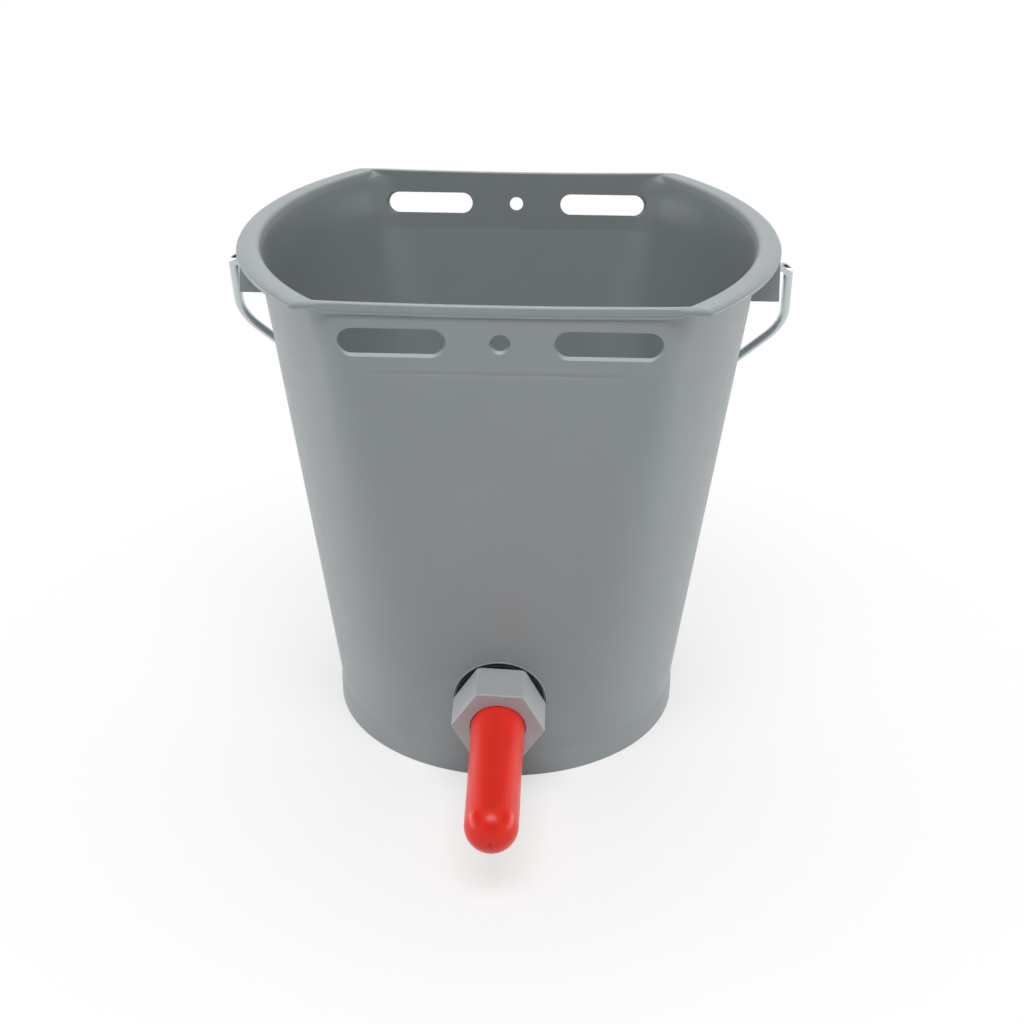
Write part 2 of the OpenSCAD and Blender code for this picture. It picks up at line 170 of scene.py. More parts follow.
class StageSettings(bpy.types.PropertyGroup):
    azimuth: angle("Azimuth", "Camera's place round the bucket", 1.919)
    elevation: angle("Elevation", "Camera's height above the horizon", 26.489)
    roll: angle("Roll", "Turn of the camera about its own axis", 0.420)
    distance: length("Distance", "Camera to the point it looks at", 850.33)
    aim_x: length("Aim across", "Point looked at, across", 0.84)
    aim_z: length("Aim up", "Point looked at, above the floor", 103.6)
    lens: level("Lens", "Focal length on a 36 mm sensor", 57.085)
    shift_x: level("Shift", "Camera shift across", 0.0028)
    floor: tint("Floor", "Pale floor", (0.94, 0.94, 0.94))
    fill: level("Fill", "Brightness of the even light around", 0.10)
    clear: length("Clear floor", "Where the floor starts to fade to white", 100)
    white: length("White floor", "Where the floor is plain white", 320)
    shade: level("Floor shade", "Share of the shadow that shows beside the bucket", 0.42)


GROUPS = {
    "feeder_moulding": MouldingSettings,
    "feeder_bail": BailSettings,
    "feeder_valve": ValveSettings,
    "feeder_finish": FinishSettings,
    "feeder_stage": StageSettings,
}


# Modelling

def start(add, **options):
    """Adds a primitive with nothing else selected, and gives its object."""
    if bpy.context.mode != "OBJECT":
        bpy.ops.object.mode_set(mode="OBJECT")
    bpy.ops.object.select_all(action="DESELECT")
    add(**options)
    return bpy.context.object


def pick(piece):
    """Selects one piece alone and makes it active."""
    bpy.ops.object.select_all(action="DESELECT")
    piece.select_set(True)
    bpy.context.view_layer.objects.active = piece


def settle(piece):
    """Puts a piece's place, turn and scale into its mesh."""
    pick(piece)
    bpy.ops.object.transform_apply(location=True, rotation=True, scale=True)
    return piece


def edit(piece):
    """Opens a piece in edit mode and gives its live mesh."""
    bpy.context.view_layer.objects.active = piece
    if bpy.context.mode != "EDIT_MESH":
        bpy.ops.object.mode_set(mode="EDIT")
    mesh = bmesh.from_edit_mesh(piece.data)
    mesh.verts.ensure_lookup_table()
    return mesh


def close(piece, doubles=1e-6):
    """Merges a piece's doubles, points its faces outwards and leaves edit mode."""
    edit(piece)
    bpy.ops.mesh.select_all(action="SELECT")
    bpy.ops.mesh.remove_doubles(threshold=doubles)
    bpy.ops.mesh.select_all(action="SELECT")
    bpy.ops.mesh.normals_make_consistent(inside=False)
    bpy.ops.object.mode_set(mode="OBJECT")
    return piece


def loop(name, places):
    """A closed loop of edges through places, in edit mode with all of it selected."""
    piece = start(bpy.ops.mesh.primitive_circle_add, vertices=len(places), fill_type="NOTHING")
    piece.name = piece.data.name = name
    bpy.context.tool_settings.mesh_select_mode = (False, True, False)
    mesh = edit(piece)
    for vert, place in zip(mesh.verts, places):
        vert.co = place
    bmesh.update_edit_mesh(piece.data)
    bpy.ops.mesh.select_all(action="SELECT")
    return piece


def grow(name, rings):
    """Fills a loop, extrudes it ring by ring, each set to its places, and fills its other end."""
    piece = loop(name, rings[0])
    bpy.ops.mesh.edge_face_add()
    last = range(len(rings[0]))
    for ring in rings[1:]:
        old = set(last)
        mesh = edit(piece)
        bpy.ops.mesh.select_all(action="DESELECT")
        for index in last:
            for link in mesh.verts[index].link_edges:
                if link.verts[0].index in old and link.verts[1].index in old:
                    link.select_set(True)
        bpy.ops.mesh.extrude_edges_move()
        mesh = edit(piece)
        following = []
        for index, place in zip(last, ring):
            vert = mesh.verts[index]
            ends = [link.other_vert(vert) for link in vert.link_edges]
            made = next(end for end in ends if end.select and end.index not in old)
            made.co = place
            following.append(made.index)
        bmesh.update_edit_mesh(piece.data)
        last = following
    bpy.ops.mesh.edge_face_add()
    return close(piece)


def turn_round(name, profile, centre, axis, steps=96):
    """Spins a closed profile of places about an axis into a closed skin."""
    piece = loop(name, profile)
    bpy.ops.mesh.spin(steps=steps, angle=2 * math.pi, center=centre, axis=axis)
    return close(piece, doubles=2e-6)


def modify(piece, kind, **options):
    """Adds a modifier to a piece and applies it."""
    modifier = piece.modifiers.new(kind.title(), kind)
    for name, value in options.items():
        setattr(modifier, name, value)
    pick(piece)
    bpy.ops.object.modifier_apply(modifier=modifier.name)


def combine(piece, tool, operation):
    """Cuts a tool out of a piece or joins it on, and deletes the tool."""
    modify(piece, "BOOLEAN", operation=operation, object=tool, solver="EXACT")
    bpy.ops.object.select_all(action="DESELECT")
    tool.select_set(True)
    bpy.ops.object.delete()


def block(low, high):
    """A cube between two corners."""
    low, high = Vector(low), Vector(high)
    piece = start(bpy.ops.mesh.primitive_cube_add, size=1, location=(low + high) / 2)
    piece.scale = high - low
    return settle(piece)


def rod(start_at, end_at, radius, sides=72):
    """A cylinder between two places."""
    start_at, end_at = Vector(start_at), Vector(end_at)
    piece = start(bpy.ops.mesh.primitive_cylinder_add, vertices=sides, radius=radius,
                  depth=(end_at - start_at).length, location=(start_at + end_at) / 2,
                  rotation=(end_at - start_at).to_track_quat("Z", "Y").to_euler())
    return settle(piece)


def sharp(edge, least):
    """True for an edge between two faces that turn by more than an angle."""
    return len(edge.link_faces) == 2 and edge.calc_face_angle(0) > math.radians(least)


def soften(piece, test, width, segments=3):
    """Rounds the edges of a piece that pass a test."""
    bpy.context.tool_settings.mesh_select_mode = (False, True, False)
    mesh = edit(piece)
    bpy.ops.mesh.select_all(action="DESELECT")
    found = [edge for edge in mesh.edges if test(edge)]
    if not found:
        raise RuntimeError(f"{piece.name}: none of its edges was found to round")
    for edge in found:
        edge.select_set(True)
    mesh.select_flush_mode()
    bmesh.update_edit_mesh(piece.data)
    bpy.ops.mesh.bevel(offset=width, segments=segments, affect="EDGES", clamp_overlap=True)
    bpy.ops.object.mode_set(mode="OBJECT")


def rounding(radius, steps):
    """Depth and growth of a rounded edge of a cut, from its wall to past the face it opens in."""
    turn, past = math.radians(75), 0.3 * MM
    places = []
    for i in range(steps + 1):
        a = turn * i / steps
        places.append((radius * (1 - math.sin(a)), radius * (1 - math.cos(a))))
    depth, growth = places[-1]
    return places + [(-past, growth + (depth + past) * math.tan(turn))]


def hand_over(piece, name, body, node, material, smooth=30):
    """Shades, names and paints a finished piece, and gives it to its body."""
    pick(piece)
    bpy.ops.object.shade_smooth_by_angle(angle=math.radians(smooth))
    modify(piece, "WEIGHTED_NORMAL", keep_sharp=True)
    piece.name = piece.data.name = name
    piece.data.materials.clear()
    piece.data.materials.append(material)
    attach(piece, body)
    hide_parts(node)


# Materials

class Shade:
    """A socket of a material that sums can be written with."""

    def __init__(self, tree, socket=None):
        self.tree, self.socket = tree, socket

    def node(self, kind, settings, sockets, out=0):
        """Adds a node, sets it, feeds its sockets, and gives one of its outputs."""
        made = self.tree.nodes.new("ShaderNode" + kind)
        for name, value in settings.items():
            setattr(made, name, value)
        for name, value in sockets.items():
            if isinstance(value, Shade):
                self.tree.links.new(value.socket, made.inputs[name])
            else:
                made.inputs[name].default_value = value
        return Shade(self.tree, made.outputs[out])

    def math(self, operation, first, second):
        return self.node("Math", {"operation": operation}, {0: first, 1: second})

    def __add__(self, other):
        return self.math("ADD", self, other)

    def __sub__(self, other):
        return self.math("SUBTRACT", self, other)

    def __rsub__(self, other):
        return self.math("SUBTRACT", other, self)

    def __mul__(self, other):
        return self.math("MULTIPLY", self, other)

    __radd__, __rmul__ = __add__, __mul__

    def between(self, low, high):
        """Runs from 0 to 1 as the value goes from low to high."""
        return self.node("MapRange", {"clamp": True},
                         {"Value": self, "From Min": low, "From Max": high})

    def mix(self, first, second):
        """Blends two colours by this value."""
        return self.node("Mix", {"data_type": "RGBA"}, {0: self, 6: first, 7: second}, 2)

    def noise(self, scale, detail):
        """A cloudy value of about 0.5, fixed to the piece, with so many lumps a metre."""
        place = self.node("TexCoord", {}, {}, "Object")
        return self.node("TexNoise", {}, {"Vector": place, "Scale": scale, "Detail": detail})


def blank(name):
    """A new material, with its node tree and its shader."""
    made = bpy.data.materials.new(name)
    made.use_nodes = True
    tree = made.node_tree
    return made, tree, next(n for n in tree.nodes if n.type == "BSDF_PRINCIPLED")


def shade_of(colour, share):
    """A colour made lighter or darker by a share, as a node takes it."""
    return (*(min(1.0, c * share) for c in colour), 1.0)


# How much finer blotches are than the mottle, and their share of the colour and of the height
BLOTCH_SCALE, BLOTCH_TINT, BLOTCH_RISE = 7, 0.25, 0.3
# How far blotches and grain change the roughness, and the grain's depth in metres
BLOTCH_GLOSS, GRAIN_GLOSS, GRAIN_DEPTH = 0.10, 0.12, 0.0004


def finish(name, colour, rough, grain, spread, metallic=0.0, specular=0.5, coat=0.0,
           grain_scale=900, mottle_scale=14, uneven=1.0):
    """A material with a soft mottle in its colour, uneven gloss and a fine grain."""
    made, tree, shader = blank(name)
    paint = Shade(tree)
    mottle = paint.noise(mottle_scale, 3).between(0.3, 0.7)
    fine = paint.noise(grain_scale, 2)
    blotch = paint.noise(mottle_scale * BLOTCH_SCALE, 4).between(0.35, 0.75)
    cloud = mottle * (1 - BLOTCH_TINT) + blotch * BLOTCH_TINT
    base = cloud.mix(shade_of(colour, 1 - spread), shade_of(colour, 1 + spread))
    tree.links.new(base.socket, shader.inputs["Base Color"])
    gloss = rough + (blotch - 0.5) * (BLOTCH_GLOSS * uneven)
    gloss = gloss + (fine - 0.5) * (GRAIN_GLOSS * uneven)
    tree.links.new(gloss.socket, shader.inputs["Roughness"])
    height = fine * (1 - BLOTCH_RISE) + blotch * BLOTCH_RISE
    bump = paint.node("Bump", {}, {"Height": height, "Strength": grain, "Distance": GRAIN_DEPTH})
    tree.links.new(bump.socket, shader.inputs["Normal"])
    shader.inputs["Metallic"].default_value = metallic
    shader.inputs["Specular IOR Level"].default_value = specular
    shader.inputs["Coat Weight"].default_value = coat
    return made


def settings(name):
    """One group of the scene's settings."""
    return getattr(bpy.context.scene, name)


# The bucket's form

# Places round an end and round a corner
END_STEPS, BEND_STEPS = 28, 10
# Places along a flat, as shares of its half-width; the groove takes in the last of them
FLAT_SHARES = (0.99, 0.97, 0.945, 0.915, 0.88, 0.80, 0.62, 0.44, 0.26, 0.09)
GROOVED = 7
# The rim's places along a flat, as shares of where its band steps up, and the length of that step
STEP_SHARES = (1.045, 1.022, 0.998, 0.975, 0.945, 0.74, 0.57, 0.40, 0.25, 0.083)
STEP_RUN = 6 * MM
# A flat's drop below the crown, and where its sag ends, as a share of where its band steps up
FLAT_DROP, SAG_REACH = 0.05 * MM, 1.07
# Rings of the wall near the crease: millimetres above it and share of the groove's depth
GROOVE_LEVELS = ((-2.5, 0.0), (-1.2, 0.0), (-0.5, 0.7), (0.0, 1.0),
                 (0.5, 0.7), (1.2, 0.0), (2.5, 0.0))
# Rings of the wall below those, the gap before the first, and the last one's drop from the crown
WALL_STEPS, RING_GAP, RIM_ROOT = 14, 2 * MM, 9 * MM
# Rings of the base below and inside, as shares of the foot ring's inner radius
UNDER_SHARES, FLOOR_SHARES = (0.3, 0.7, 0.98), (0.75, 0.3)
# The run from the foot ring into the wall, its rings, and those of the fillet inside
FOOT_RUN, FOOT_STEPS, FILLET_STEPS = 6 * MM, 8, 6
# The rim's section in millimetres, from under its lip over the crown to the inside.
# Round the ends: distance in from its edge and height from the crown.
# Along the flats: distance out from the flat and height from its top.
# Last, the corner's radius between the two.
RIM = (
    (9.45, -5.20, 0.00, -5.60, 24.0),
    (9.15, -3.60, 0.00, -5.20, 22.0),
    (8.70, -2.75, 0.00, -5.00, 16.0),
    (7.60, -2.45, 0.02, -4.90, 10.0),
    (3.60, -2.40, 0.05, -4.84, 4.5),
    (2.20, -2.75, 0.10, -4.80, 3.4),
    (1.80, -3.22, 0.20, -4.76, 3.0),
    (0.25, -3.30, 0.70, -4.66, 2.6),
    (-0.20, -3.24, 1.00, -4.50, 2.6),
    (-0.32, -3.04, 1.10, -4.28, 2.6),
    (-0.20, -2.84, 1.00, -4.06, 2.6),
    (0.00, -2.74, 0.48, -3.94, 2.5),
    (0.03, -2.45, 0.44, -2.50, 2.5),
    (0.12, -2.20, 0.42, -0.95, 2.5),
    (0.30, -1.93, 0.38, -0.68, 2.5),
    (0.60, -1.63, 0.27, -0.43, 2.5),
    (1.00, -1.34, 0.12, -0.23, 2.4),
    (1.60, -1.00, -0.08, -0.10, 2.4),
    (2.40, -0.68, -0.30, -0.03, 2.3),
    (3.40, -0.39, -0.55, 0.00, 2.2),
    (4.60, -0.17, -1.00, 0.00, 2.1),
    (5.80, -0.04, -1.50, 0.00, 2.0),
    (7.00, 0.00, -1.90, 0.00, 2.0),
    (8.00, -0.06, -2.15, -0.02, 2.0),
    (8.80, -0.22, -2.32, -0.07, 2.0),
    (9.50, -0.50, -2.45, -0.16, 2.1),
    (10.05, -0.90, -2.54, -0.30, 2.4),
    (10.50, -1.45, -2.59, -0.50, 3.2),
    (10.85, -2.15, -2.60, -0.85, 5.0),
    (11.15, -3.00, -2.60, -1.80, 8.5),
    (11.48, -3.90, -2.60, -3.00, 13.0),
    (11.82, -4.75, -2.60, -4.20, 17.5),
)


def eased(t):
    """A smooth run from 0 to 1."""
    t = min(1.0, max(0.0, t))
    return t * t * (3 - 2 * t)


def section(m, z):
    """Level section of the wall: end's middle and radius, flat's half-depth, corner's radius."""
    mid = m.top_x - m.end_r
    share = m.crease_z / m.height
    foot = (0.0, m.foot_r, m.foot_r, m.foot_r)
    crease = (share * mid, m.foot_r + share * (m.end_r - m.foot_r), m.flat_y, m.corner_r)
    crown = (mid, m.end_r, m.flat_y, m.corner_r)
    low, high, t = (foot, crease, z / m.crease_z) if z < m.crease_z else (
        crease, crown, (z - m.crease_z) / (m.height - m.crease_z))
    return [a + (b - a) * t for a, b in zip(low, high)]


def all_round(quarter, z):
    """Places round a ring, from one quarter's, each with its height or all at one."""
    heights = z if isinstance(z, list) else [z] * len(quarter)
    places = [(x, y, h) for (x, y), h in zip(quarter, heights)]
    return ([Vector(p) for p in places]
            + [Vector((-x, y, h)) for x, y, h in reversed(places)]
            + [Vector((-x, -y, h)) for x, y, h in places[1:]]
            + [Vector((x, -y, h)) for x, y, h in reversed(places[1:])])


def level_outline(mid, end_r, flat, corner_r, runs=None):
    """A quarter of a level outline: the end's arc, the rounded corner and places along the flat."""
    reach, rise = end_r - corner_r, flat - corner_r
    corner = Vector((mid + math.sqrt(reach ** 2 - rise ** 2), rise))
    turn = math.asin(rise / reach)
    places = []
    for i in range(END_STEPS):
        a = turn * i / END_STEPS
        places.append(Vector((mid + end_r * math.cos(a), end_r * math.sin(a))))
    for i in range(BEND_STEPS + 1):
        a = turn + (math.pi / 2 - turn) * i / BEND_STEPS
        places.append(corner + corner_r * Vector((math.cos(a), math.sin(a))))
    along = [corner.x * share for share in FLAT_SHARES]
    if runs:
        along = [min(pair) for pair in zip(along, runs)]
    return places + [Vector((x, flat)) for x in along]


def quarter_at(m, z, inset):
    """A quarter of the wall's outline at a height, set in by a wall."""
    mid, end_r, flat, corner_r = section(m, z)
    return level_outline(mid, end_r - inset, flat - inset, corner_r - inset)


def wall_ring(m, z, inset=0.0, dip=0.0):
    """The wall's outline all round at a height, with a groove along its flats."""
    quarter = quarter_at(m, z, inset)
    for place in quarter[-GROOVED:]:
        place.y -= dip
    return all_round(quarter, z)


def rim_ring(m, inward, rise, out, fall, corner):
    """One ring of the rim, at one height round the ends and at another along the sagging flats."""
    mid = m.top_x - m.end_r
    runs = [m.step_x * share for share in STEP_SHARES]
    quarter = level_outline(mid, m.rim_x - mid - inward, m.flat_y + out, corner, runs)
    heights = []
    for place in quarter:
        at_end = eased((place.x - m.step_x) / STEP_RUN + 0.5)
        sag = m.sag * (1 - min(1.0, (place.x / (SAG_REACH * m.step_x)) ** 2))
        top = m.height - FLAT_DROP - sag
        heights.append(at_end * (m.height + rise) + (1 - at_end) * (top + fall))
    return all_round(quarter, heights)


def wall_levels(m, low):
    """Heights of the wall's rings above one height, closest at the crease, and groove depths."""
    near = [(m.crease_z + at * MM, m.groove * share) for at, share in GROOVE_LEVELS]
    run = near[0][0] - low
    levels = [(low + run * i / WALL_STEPS, 0.0) for i in range(WALL_STEPS)]
    return levels + near + [(m.height - RIM_ROOT, 0.0)]


def moulding_rings(m):
    """The bucket's rings, from under its base, up outside, over the rim and down inside."""
    foot = [p.normalized() for p in quarter_at(m, m.ring_h, 0)]

    def circle(radius, z):
        return all_round([p * radius for p in foot], z)

    hollow_r, edge, bend = m.ring_r - m.ring_t, m.edge, 0.3 * m.edge
    rings = [circle(hollow_r * share, m.base_rise) for share in UNDER_SHARES]
    rings += [circle(radius, z) for radius, z in (
        (hollow_r, m.base_rise - edge), (hollow_r, edge), (hollow_r + bend, bend),
        (hollow_r + edge, 0.0), (m.ring_r - edge, 0.0), (m.ring_r - bend, bend), (m.ring_r, edge))]
    # The foot ring runs softly into the wall
    low = m.ring_h - FOOT_RUN / 2
    for i in range(FOOT_STEPS + 1):
        z = low + FOOT_RUN * i / FOOT_STEPS
        share = eased(i / FOOT_STEPS)
        rings.append([c.lerp(w, share) for c, w in zip(circle(m.ring_r, z), wall_ring(m, z))])
    rings += [wall_ring(m, z, 0, dip) for z, dip in wall_levels(m, low + FOOT_RUN + RING_GAP)]
    rings += [rim_ring(m, *(value * MM for value in row)) for row in RIM]
    inside = m.base_top + m.base_fillet
    rings += [wall_ring(m, z, m.wall) for z, _ in reversed(wall_levels(m, inside + RING_GAP))]
    for i in range(FILLET_STEPS + 1):
        a = math.pi / 2 * i / FILLET_STEPS
        inset = m.wall + m.base_fillet * (1 - math.cos(a))
        rings.append(wall_ring(m, inside - m.base_fillet * math.sin(a), inset))
    rings += [circle(hollow_r * share, m.base_top) for share in FLOOR_SHARES]
    return rings


def valve_frame(m, v):
    """The valve's place on the flat, its outward axis and its upward direction."""
    slope = (m.flat_y - m.foot_r) / m.crease_z
    t = math.atan(slope)
    place = Vector((0, -(m.foot_r + slope * v.height), v.height))
    return place, Vector((0, -math.cos(t), -math.sin(t))), Vector((0, -math.sin(t), math.cos(t)))


class FEEDER_OT_moulding(bpy.types.Operator):
    """Models the bucket: foot ring, wall, rolled rim, slots, ears and the valve's seat"""
    bl_idname = "feeder.moulding"
    bl_label = "Bucket moulding"

    def execute(self, context):
        m, b, v = settings("feeder_moulding"), settings("feeder_bail"), settings("feeder_valve")
        piece = grow("bucket_moulding", moulding_rings(m))
        self.add_ears(piece, m, b)
        self.cut_slots(piece, m)
        self.cut_seat(piece, m, v)
        colour = settings("feeder_finish").moulding
        paint = finish("moulded_grey", colour, rough=0.43, grain=0.05, spread=0.03)
        hand_over(piece, "bucket_moulding", "bucket", "bucket", paint)
        return {"FINISHED"}

    def add_ears(self, piece, m, b):
        """Joins on two hollow ears, open below, each with a bore for the bail's pin."""
        overlap, roof, edge = 0.35 * MM, 1.5 * MM, 0.4 * MM
        lean = (m.top_x - m.foot_r) / m.height
        low, high = m.height - m.ear_drop, m.height - m.rim_lip + overlap
        pivot, half = m.height - b.pivot_drop, m.ear_w / 2 - m.ear_cheek
        plate, outside = m.ear_x - m.ear_plate, m.ear_x - 2 * m.ear_lean

        def outer(e):
            return sharp(e, least=60) and any(abs(w.co.x) > outside for w in e.verts)

        def reach(far, half_width, bottom, top):
            x = sorted((side * m.foot_r, side * far))
            return block((x[0], -half_width, bottom), (x[1], half_width, top))

        for side in (1, -1):
            ear = reach(m.ear_x, m.ear_w / 2, low, high)
            for vert in ear.data.vertices:
                if abs(vert.co.x) < outside:
                    vert.co.x = side * (m.foot_r + lean * vert.co.z - m.wall / 2)
                elif vert.co.z > pivot:
                    vert.co.x -= side * m.ear_lean
            soften(ear, outer, edge)
            combine(ear, reach(plate, half, low - OVERRUN, high - roof), "DIFFERENCE")
            bore = rod((side * (plate - OVERRUN), 0, pivot), (side * (m.ear_x + OVERRUN), 0, pivot),
                       b.wire / 2 + b.pivot_gap, sides=32)
            combine(ear, bore, "DIFFERENCE")
            combine(piece, ear, "UNION")

    def cut_slots(self, piece, m):
        """Cuts the slots and holes through both flats, with rounded edges and draft."""
        outer_edge, inner_edge, sides = 0.3 * MM, 0.2 * MM, 64
        z = m.height - m.slot_drop
        cut = [(m.flat_y - depth, growth + m.slot_draft / 3)
               for depth, growth in reversed(rounding(outer_edge, 4))]
        cut += [(m.flat_y - m.wall + depth, growth - m.slot_draft)
                for depth, growth in rounding(inner_edge, 3)]
        stations = [(-y, growth) for y, growth in cut] + cut[::-1]
        run, r = (m.slot_len - m.slot_w) / 2, m.slot_w / 2
        for x, half, radius in ((m.slot_x, run, r), (-m.slot_x, run, r), (0.0, 0.0, m.hole_d / 2)):
            rings = []
            for y, growth in stations:
                ring = []
                for i in range(sides):
                    a = 2 * math.pi * (i + 0.5) / sides
                    across, rise = (radius + growth) * math.cos(a), (radius + growth) * math.sin(a)
                    ring.append(Vector((x + across + math.copysign(half, across), y, z + rise)))
                rings.append(ring)
            combine(piece, grow("slot", rings), "DIFFERENCE")

    def cut_seat(self, piece, m, v):
        """Adds the pad inside, and cuts the seal's seat and the spigot's bore in the front flat."""
        seat_edge, seat_sides, bead_sides = 0.45 * MM, 120, 16
        place, axis, up = valve_frame(m, v)
        pad = rod(place - axis * (m.wall + v.pad_rise), place - axis * m.wall / 2, v.pad_r)
        combine(piece, pad, "UNION")
        seat_r = v.seal_r + v.seat_gap
        profile = [(-v.seat_depth, 0.0), (-v.seat_depth, seat_r)]
        profile += [(-depth, seat_r + growth) for depth, growth in rounding(seat_edge, 4)]
        profile += [(OVERRUN, seat_r + OVERRUN), (OVERRUN, 0.0)]
        profile = [place + axis * s + up * r for s, r in profile]
        combine(piece, turn_round("seat", profile, place, axis, seat_sides), "DIFFERENCE")
        # A thin bead stands round the seat
        r = v.seat_bead
        middle = place - axis * 0.3 * r + up * (seat_r + 2 * r)
        profile = []
        for i in range(bead_sides):
            a = 2 * math.pi * i / bead_sides
            profile.append(middle + r * (axis * math.sin(a) + up * math.cos(a)))
        combine(piece, turn_round("seat_bead", profile, place, axis, seat_sides), "UNION")
        bore = rod(place - axis * (m.wall + v.pad_rise + OVERRUN), place + axis * OVERRUN,
                   v.spigot_r + v.spigot_gap)
        combine(piece, bore, "DIFFERENCE")


class FEEDER_OT_bail(bpy.types.Operator):
    """Bends the wire bail, with its pins in the ears and its grip behind the bucket"""
    bl_idname = "feeder.bail"
    bl_label = "Wire bail"

    def execute(self, context):
        m, b = settings("feeder_moulding"), settings("feeder_bail")
        slope = (m.flat_y - m.foot_r) / m.crease_z
        taper = math.atan(slope)
        pivot = m.height - b.pivot_drop
        stand = m.foot_r + slope * pivot + (b.wire / 2 + b.rest_gap) / math.cos(taper)
        hang = math.asin(stand * math.cos(taper) / b.reach) - taper
        down = Vector((0, math.sin(hang), -math.cos(hang)))
        side = Vector((0, math.cos(hang), math.sin(hang)))
        path = [(b.pin_x, 0), (b.leg_x, 0), (b.shoulder_x, b.shoulder_reach),
                (b.grip_half, b.reach)]
        path = [Vector(p) for p in path] + [Vector((-x, y)) for x, y in reversed(path)]
        bends = [0, b.pin_bend, b.shoulder_bend, b.grip_bend]
        rings, sides = [], 28
        for at, heading, share in self.round_ends(self.stations(path, bends + bends[::-1])):
            across, r = self.ahead(heading + math.pi / 2), share * b.wire / 2
            ring = []
            for j in range(sides):
                a = 2 * math.pi * j / sides
                flat = at + across * r * math.cos(a)
                ring.append(Vector((flat.x, 0, pivot)) + down * flat.y + side * r * math.sin(a))
            rings.append(ring)
        piece = grow("wire_bail", rings)
        colour = settings("feeder_finish").wire
        paint = finish("zinc_wire", colour, rough=0.20, grain=0.004, spread=0.05, metallic=1.0,
                       grain_scale=700, mottle_scale=30, uneven=0.15)
        hand_over(piece, "wire_bail", "bail", "bail", paint, smooth=40)
        return {"FINISHED"}

    def round_ends(self, stations):
        """Stations along the wire with their share of its radius, smaller at its two ends."""
        shares, run = (0.55, 0.82), 0.35 * MM
        (first, out), (last, onward) = stations[0], stations[-1]
        return ([(first, out, share) for share in shares]
                + [(first + run * self.ahead(out), out, 1.0)]
                + [(place, heading, 1.0) for place, heading in stations[1:-1]]
                + [(last - run * self.ahead(onward), onward, 1.0)]
                + [(last, onward, share) for share in reversed(shares)])

    def stations(self, path, bends):
        """Places and headings along a path with rounded corners."""
        step = math.radians(5)
        found = [(path[0], self.heading(path[0], path[1]))]
        for i in range(1, len(path) - 1):
            way, onward = self.heading(path[i - 1], path[i]), self.heading(path[i], path[i + 1])
            turn = (onward - way + math.pi) % (2 * math.pi) - math.pi
            hand, r = math.copysign(1, turn), bends[i]
            begin = path[i] - r * math.tan(abs(turn) / 2) * self.ahead(way)
            middle = begin + hand * r * self.ahead(way + math.pi / 2)
            steps = math.ceil(abs(turn) / step)
            for k in range(steps + 1):
                w = way + turn * k / steps
                found.append((middle + hand * r * self.ahead(w - math.pi / 2), w))
        return found + [(path[-1], self.heading(path[-2], path[-1]))]

    def ahead(self, heading):
        return Vector((math.cos(heading), math.sin(heading)))

    def heading(self, a, b):
        return math.atan2(b.y - a.y, b.x - a.x)


class FEEDER_OT_teat(bpy.types.Operator):
    """Spins the red teat, with its flange in the nut and its milk hole"""
    bl_idname = "feeder.teat"
    bl_label = "Teat"

    def execute(self, context):
        m, v = settings("feeder_moulding"), settings("feeder_valve")
        place, axis, up = valve_frame(m, v)
        nut = -v.seat_depth + v.seal_t
        front = nut + v.nut_len
        step, tip = front - v.nut_face, front + v.teat_len
        end = tip - v.teat_end
        edge, lead, lip, lip_depth = 0.3 * MM, 0.2 * MM, 0.12 * MM, 0.5 * MM
        skin_steps, end_steps, inner_steps, bore_steps = 24, 18, 10, 8

        def skin(share):
            if share < v.waist_share:
                radius, away = v.teat_root, 1 - share / v.waist_share
            else:
                radius, away = v.teat_end, (share - v.waist_share) / (1 - v.waist_share)
            return v.teat_waist + (radius - v.teat_waist) * away ** 2

        outside = [(v.spigot_out, v.spigot_r - edge), (v.spigot_out + edge, v.spigot_r),
                   (step - edge, v.spigot_r), (step, v.spigot_r - edge),
                   (step, v.teat_root + lead / 4), (step + lead, v.teat_root)]
        for i in range(skin_steps + 1):
            share = i / skin_steps
            outside.append((front + (end - front) * share, skin(share)))
        hole = math.asin((v.teat_hole + edge) / v.teat_end)
        for i in range(1, end_steps + 1):
            a = math.pi / 2 + (hole - math.pi / 2) * i / end_steps
            outside.append((end + v.teat_end * math.cos(a), v.teat_end * math.sin(a)))
        dip = end + math.sqrt(v.teat_end ** 2 - v.teat_hole ** 2)
        outside += [(dip - lip, v.teat_hole + lip), (dip - lip_depth, v.teat_hole)]
        inner_end = v.teat_end - v.teat_wall
        inside = [(end + math.sqrt(inner_end ** 2 - v.teat_hole ** 2), v.teat_hole)]
        begin = math.asin(v.teat_hole / inner_end)
        for i in range(1, inner_steps + 1):
            a = begin + (math.pi / 2 - begin) * i / inner_steps
            inside.append((end + inner_end * math.cos(a), inner_end * math.sin(a)))
        for i in reversed(range(bore_steps)):
            share = i / bore_steps
            inside.append((front + (end - front) * share, skin(share) - v.teat_wall))
        inside.append((v.spigot_out, v.teat_root - v.teat_wall))
        profile = [place + axis * s + up * r for s, r in outside + inside]
        piece = turn_round("red_teat", profile, place, axis)
        colour = settings("feeder_finish").teat
        paint = finish("red_rubber", colour, rough=0.30, grain=0.01, spread=0.03, specular=0.28,
                       grain_scale=1200, mottle_scale=40, uneven=0.25)
        hand_over(piece, "red_teat", "bucket", "teat", paint)
        return {"FINISHED"}


